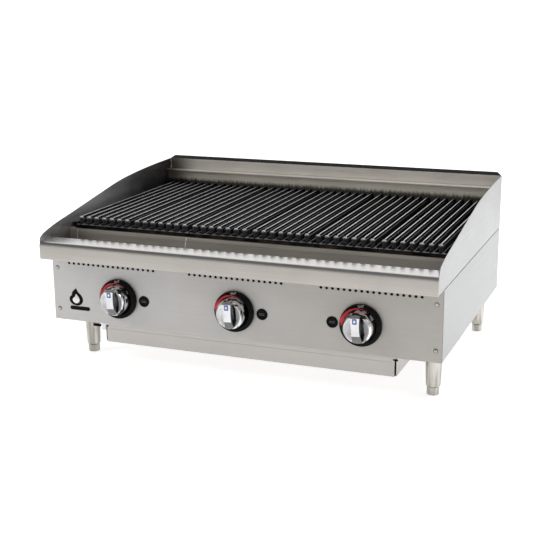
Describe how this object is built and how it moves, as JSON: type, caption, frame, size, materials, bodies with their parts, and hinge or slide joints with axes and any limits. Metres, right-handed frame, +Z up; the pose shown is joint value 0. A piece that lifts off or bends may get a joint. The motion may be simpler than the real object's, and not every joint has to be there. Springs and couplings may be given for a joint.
{
  "type": "countertop gas charbroiler",
  "caption": "Countertop gas charbroiler: stainless cabinet with curved splash guards, ribbed cast-iron grates, chrome dial knobs, drip tray and tapered legs.",
  "frame": {"origin": "centre of the bounding box on the floor plane, under the feet", "axes": "+X to the right seen from the front, +Y from the front to the back, +Z up"},
  "size_m": [0.9144, 0.685, 0.3994],
  "materials": {
    "cabinet_steel": "brushed stainless sheet",
    "firebox_steel": "heat-dulled steel sheet",
    "cast_iron": "dark seasoned cast iron",
    "radiant_iron": "dark cast iron",
    "burner_iron": "raw cast iron",
    "valve_brass": "machined",
    "pilot_steel": "drawn tube",
    "pipe_black": "black steel pipe",
    "dial_black": "gloss",
    "plug_black": "gloss",
    "knob_chrome": "polished plating",
    "leg_steel": "satin"
  },
  "bodies": {
    "chassis": {"front_rail": "cabinet_steel", "front_panel": "cabinet_steel", "left_side_panel": "cabinet_steel", "right_side_panel": "cabinet_steel", "left_splash": "cabinet_steel", "right_splash": "cabinet_steel", "rear_splash": "cabinet_steel", "rear_panel": "cabinet_steel", "grease_trough": "cabinet_steel", "base_front": "cabinet_steel", "base_rear": "cabinet_steel", "housing_left": "cabinet_steel", "housing_right": "cabinet_steel", "liner_front": "firebox_steel", "liner_rear": "firebox_steel", "liner_left": "firebox_steel", "liner_right": "firebox_steel", "radiant_rail_front": "firebox_steel", "radiant_rail_rear": "firebox_steel", "burner_rail": "firebox_steel", "burner_1": "burner_iron", "gas_valve_1": "valve_brass", "pilot_tube_1": "pilot_steel", "dial_bezel_1": "dial_black", "access_plug_1": "plug_black", "burner_2": "burner_iron", "gas_valve_2": "valve_brass", "pilot_tube_2": "pilot_steel", "dial_bezel_2": "dial_black", "access_plug_2": "plug_black", "burner_3": "burner_iron", "gas_valve_3": "valve_brass", "pilot_tube_3": "pilot_steel", "dial_bezel_3": "dial_black", "access_plug_3": "plug_black", "gas_pipe": "pipe_black", "leg_front_left": "leg_steel", "leg_front_right": "leg_steel", "leg_rear_left": "leg_steel", "leg_rear_right": "leg_steel"},
    "knob_1": {"knob_1": "knob_chrome", "valve_stem_1": "valve_brass"},
    "knob_2": {"knob_2": "knob_chrome", "valve_stem_2": "valve_brass"},
    "knob_3": {"knob_3": "knob_chrome", "valve_stem_3": "valve_brass"},
    "drip_tray": {"drip_tray": "cabinet_steel"},
    "grate_1": {"grate_1": "cast_iron"},
    "grate_2": {"grate_2": "cast_iron"},
    "grate_3": {"grate_3": "cast_iron"},
    "grate_4": {"grate_4": "cast_iron"},
    "grate_5": {"grate_5": "cast_iron"},
    "grate_6": {"grate_6": "cast_iron"},
    "radiant_1": {"radiant_1": "radiant_iron"},
    "radiant_2": {"radiant_2": "radiant_iron"},
    "radiant_3": {"radiant_3": "radiant_iron"},
    "foot_front_left": {"foot_front_left": "leg_steel"},
    "foot_front_right": {"foot_front_right": "leg_steel"},
    "foot_rear_left": {"foot_rear_left": "leg_steel"},
    "foot_rear_right": {"foot_rear_right": "leg_steel"}
  },
  "joints": [
    {"name": "knob_1_turn", "type": "hinge", "parent": "chassis", "child": "knob_1", "pos_m": [-0.28575, -0.2939, 0.1708], "axis": [0, -1, 0], "range_deg": [0, 180]},
    {"name": "knob_2_turn", "type": "hinge", "parent": "chassis", "child": "knob_2", "pos_m": [0, -0.2939, 0.1708], "axis": [0, -1, 0], "range_deg": [0, 180]},
    {"name": "knob_3_turn", "type": "hinge", "parent": "chassis", "child": "knob_3", "pos_m": [0.28575, -0.2939, 0.1708], "axis": [0, -1, 0], "range_deg": [0, 180]},
    {"name": "drip_tray_slide", "type": "slide", "parent": "chassis", "child": "drip_tray", "axis": [0, -1, 0], "range_m": [0, 0.5]},
    {"name": "grate_1_lift", "type": "slide", "parent": "chassis", "child": "grate_1", "axis": [0, -0.352, 0.936], "range_m": [0, 0.12]},
    {"name": "grate_2_lift", "type": "slide", "parent": "chassis", "child": "grate_2", "axis": [0, -0.352, 0.936], "range_m": [0, 0.12]},
    {"name": "grate_3_lift", "type": "slide", "parent": "chassis", "child": "grate_3", "axis": [0, -0.352, 0.936], "range_m": [0, 0.12]},
    {"name": "grate_4_lift", "type": "slide", "parent": "chassis", "child": "grate_4", "axis": [0, -0.352, 0.936], "range_m": [0, 0.12]},
    {"name": "grate_5_lift", "type": "slide", "parent": "chassis", "child": "grate_5", "axis": [0, -0.352, 0.936], "range_m": [0, 0.12]},
    {"name": "grate_6_lift", "type": "slide", "parent": "chassis", "child": "grate_6", "axis": [0, -0.352, 0.936], "range_m": [0, 0.12]},
    {"name": "radiant_1_lift", "type": "slide", "parent": "chassis", "child": "radiant_1", "axis": [0, 0, 1], "range_m": [0, 0.035]},
    {"name": "radiant_2_lift", "type": "slide", "parent": "chassis", "child": "radiant_2", "axis": [0, 0, 1], "range_m": [0, 0.035]},
    {"name": "radiant_3_lift", "type": "slide", "parent": "chassis", "child": "radiant_3", "axis": [0, 0, 1], "range_m": [0, 0.035]},
    {"name": "foot_front_left_turn", "type": "hinge", "parent": "chassis", "child": "foot_front_left", "pos_m": [-0.418, -0.1945, 0], "axis": [0, 0, 1], "range_deg": [-180, 180]},
    {"name": "foot_front_right_turn", "type": "hinge", "parent": "chassis", "child": "foot_front_right", "pos_m": [0.418, -0.1945, 0], "axis": [0, 0, 1], "range_deg": [-180, 180]},
    {"name": "foot_rear_left_turn", "type": "hinge", "parent": "chassis", "child": "foot_rear_left", "pos_m": [-0.418, 0.2775, 0], "axis": [0, 0, 1], "range_deg": [-180, 180]},
    {"name": "foot_rear_right_turn", "type": "hinge", "parent": "chassis", "child": "foot_rear_right", "pos_m": [0.418, 0.2775, 0], "axis": [0, 0, 1], "range_deg": [-180, 180]}
  ]
}
